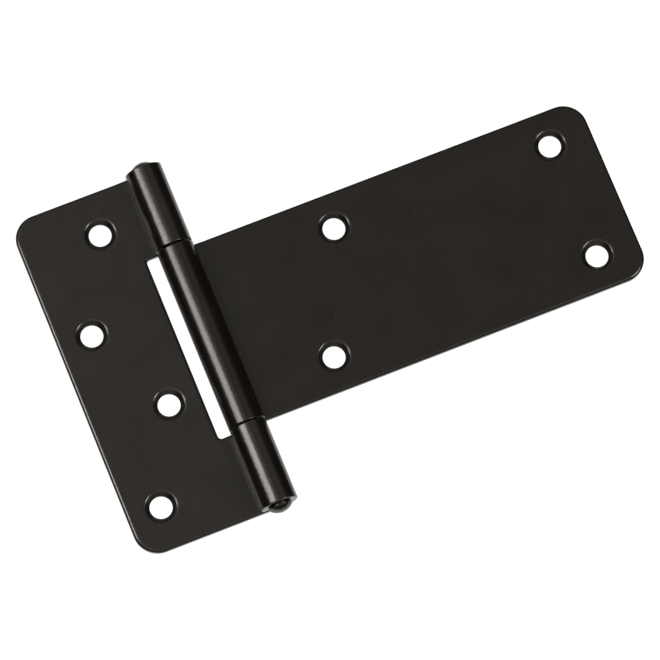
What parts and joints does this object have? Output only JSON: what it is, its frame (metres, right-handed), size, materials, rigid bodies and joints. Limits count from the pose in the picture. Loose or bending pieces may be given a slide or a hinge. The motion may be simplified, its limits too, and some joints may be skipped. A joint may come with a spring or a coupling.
{
  "type": "t hinge",
  "caption": "Black powder-coated T hinge: a short rectangular plate leaf and a long strap leaf, countersunk for screws, with knuckles rolled round one captive pin.",
  "frame": {"origin": "on the back face of the plate leaf, at the centre of its four screw holes", "axes": "+X runs along the strap, away from the plate; +Y runs along the pin; +Z points out of the front faces, where the screws go in, so the back faces lie in the plane Z = 0"},
  "size_m": [0.1582, 0.1048, 0.0104],
  "materials": {
    "plate_coat": "satin black powder coat",
    "strap_coat": "satin black powder coat",
    "pin_coat": "satin black powder coat"
  },
  "bodies": {
    "plate": {"plate_leaf": "plate_coat", "hinge_pin": "pin_coat"},
    "strap": {"strap_leaf": "strap_coat"}
  },
  "joints": [
    {"name": "strap_swing", "type": "hinge", "parent": "plate", "child": "strap", "pos_m": [0.0234, 0, 0.00518], "axis": [0, -1, 0], "range_deg": [-115, 188]}
  ]
}
